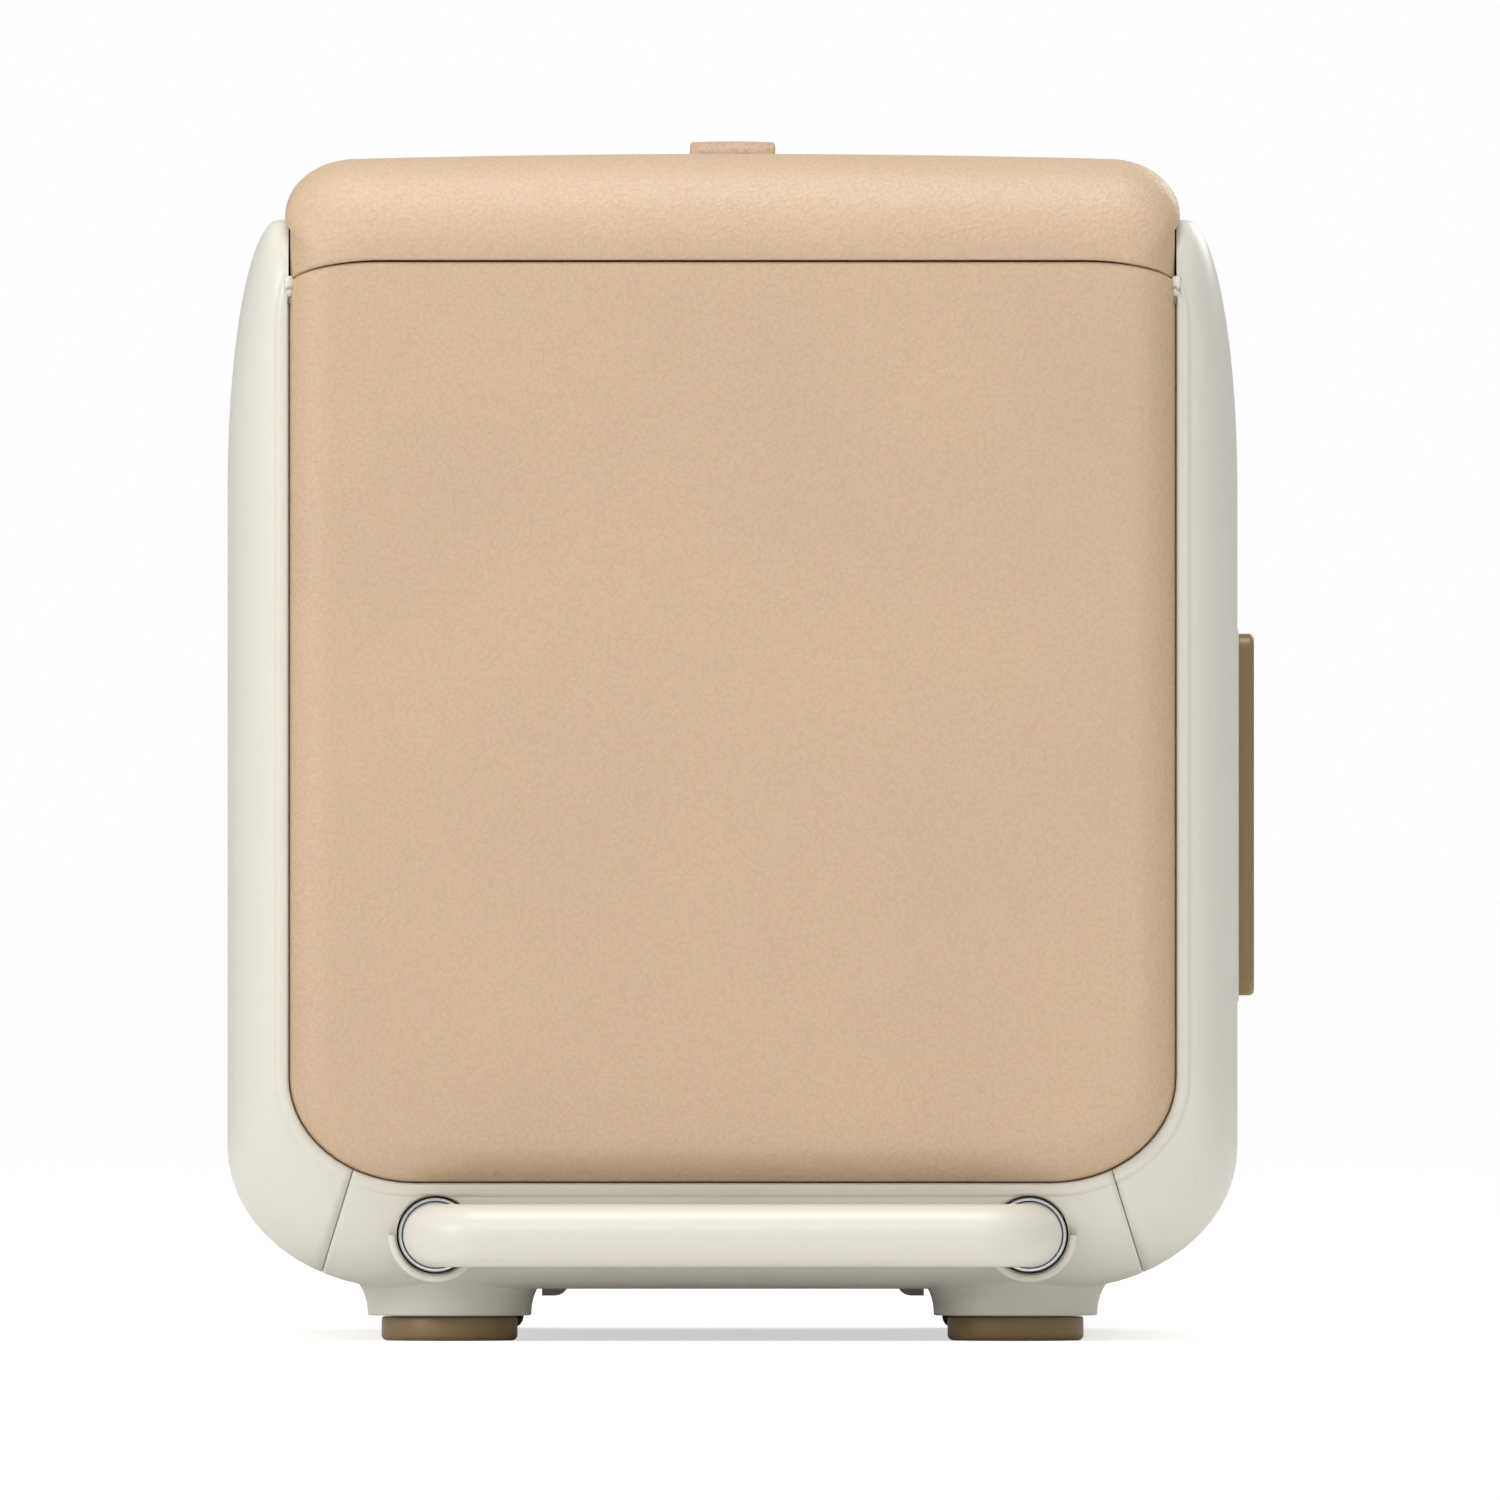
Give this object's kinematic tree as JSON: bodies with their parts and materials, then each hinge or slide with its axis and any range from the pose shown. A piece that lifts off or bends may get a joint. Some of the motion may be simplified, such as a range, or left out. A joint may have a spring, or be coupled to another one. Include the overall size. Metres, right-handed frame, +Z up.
{
  "type": "mini fridge",
  "caption": "Chest-type portable mini fridge with a rear-hinged lid, a telescopic pull handle, feet and wheels.",
  "frame": {"origin": "on the floor, under the middle of the whole fridge's box, pull handle and control panel included", "axes": "+Z up, -Y the front end with the pull handle, +Y the hinge end, +X the side with the control panel"},
  "size_m": [0.3504, 0.5878, 0.41],
  "materials": {
    "cream_plastic": "satin moulded",
    "tan_grained_panel": "fine leather grain",
    "tan_leather": "smooth leather",
    "brown_trim": "satin bronze paint",
    "chrome_tube": "polished",
    "black_rubber": "matt",
    "dark_plastic": "moulded",
    "black_paint": "gloss enamel",
    "white_lining": "semi-gloss",
    "lamp_lens": "frosted",
    "grey_gasket": "soft",
    "foam": "rigid foam",
    "aluminium_plate": "mill finish",
    "copper_tube": "drawn",
    "steel": "brushed",
    "circuit_board": "solder resist",
    "display_glass": "polished"
  },
  "bodies": {
    "cabinet": {"side_shell_left": "cream_plastic", "side_shell_right": "cream_plastic", "base_cover": "cream_plastic", "foot_boss_left": "cream_plastic", "foot_boss_right": "cream_plastic", "end_panel_front": "tan_grained_panel", "end_panel_rear": "tan_grained_panel", "vent_grille": "brown_trim", "power_inlet": "dark_plastic", "inner_liner": "white_lining", "insulation_foam": "foam", "evaporator_plate": "aluminium_plate", "refrigerant_line": "copper_tube", "compressor": "black_paint", "compressor_tray": "aluminium_plate", "condenser_coil": "copper_tube", "fan_frame": "dark_plastic", "power_board": "circuit_board", "control_board": "circuit_board", "control_bezel": "brown_trim", "display_window": "display_glass", "chassis_plate": "aluminium_plate", "tube_anchor_bar": "dark_plastic", "guide_tube_left": "chrome_tube", "guide_tube_right": "chrome_tube", "interior_lamp": "lamp_lens", "foot_left": "brown_trim", "foot_right": "brown_trim", "wheel_bracket_left": "cream_plastic", "wheel_bracket_right": "cream_plastic", "wheel_axle_left": "steel", "wheel_axle_right": "steel", "hinge_base_left": "steel", "hinge_base_right": "steel", "hinge_pin_left": "steel", "hinge_pin_right": "steel"},
    "lid": {"lid_cover": "tan_grained_panel", "lid_inner": "white_lining", "lid_foam": "foam", "lid_gasket": "grey_gasket", "lid_strap": "tan_leather", "strap_clamp_front": "steel", "strap_clamp_rear": "steel", "hinge_leaf_left": "steel", "hinge_leaf_right": "steel"},
    "handle_middle": {"middle_tube_left": "chrome_tube", "middle_tube_right": "chrome_tube"},
    "handle_front": {"inner_tube_left": "chrome_tube", "inner_tube_right": "chrome_tube", "handle_grip": "cream_plastic"},
    "handle_release": {"release_button": "brown_trim"},
    "wheel_left": {"wheel_tyre_left": "black_rubber", "wheel_hub_left": "dark_plastic"},
    "wheel_right": {"wheel_tyre_right": "black_rubber", "wheel_hub_right": "dark_plastic"},
    "key_down": {"button_down": "cream_plastic"},
    "key_up": {"button_up": "cream_plastic"},
    "key_power": {"button_power": "cream_plastic"},
    "fan": {"fan_rotor": "dark_plastic"}
  },
  "joints": [
    {"name": "lid_hinge", "type": "hinge", "parent": "cabinet", "child": "lid", "pos_m": [-0.0032, 0.28935, 0.365], "axis": [-1, 0, 0], "range_deg": [0, 95]},
    {"name": "handle_middle_slide", "type": "slide", "parent": "cabinet", "child": "handle_middle", "axis": [0, -1, 0], "range_m": [0, 0.3]},
    {"name": "handle_front_slide", "type": "slide", "parent": "handle_middle", "child": "handle_front", "axis": [0, -1, 0], "range_m": [0, 0.3]},
    {"name": "release_press", "type": "slide", "parent": "handle_front", "child": "handle_release", "axis": [0, -1, 0], "range_m": [0, 0.003], "stiffness_N_per_m": 600, "springref_m": -0.001},
    {"name": "wheel_left_spin", "type": "hinge", "parent": "cabinet", "child": "wheel_left", "pos_m": [-0.09045, 0.22085, 0.024], "axis": [1, 0, 0], "continuous": true},
    {"name": "wheel_right_spin", "type": "hinge", "parent": "cabinet", "child": "wheel_right", "pos_m": [0.08405, 0.22085, 0.024], "axis": [1, 0, 0], "continuous": true},
    {"name": "key_down_press", "type": "slide", "parent": "cabinet", "child": "key_down", "axis": [-1, 0, 0], "range_m": [0, 0.0008], "stiffness_N_per_m": 1500, "springref_m": -0.0005},
    {"name": "key_up_press", "type": "slide", "parent": "cabinet", "child": "key_up", "axis": [-1, 0, 0], "range_m": [0, 0.0008], "stiffness_N_per_m": 1500, "springref_m": -0.0005},
    {"name": "key_power_press", "type": "slide", "parent": "cabinet", "child": "key_power", "axis": [-1, 0, 0], "range_m": [0, 0.0008], "stiffness_N_per_m": 1500, "springref_m": -0.0005},
    {"name": "fan_spin", "type": "hinge", "parent": "cabinet", "child": "fan", "pos_m": [0.0618, 0.21085, 0.116], "axis": [0, 1, 0], "continuous": true}
  ]
}
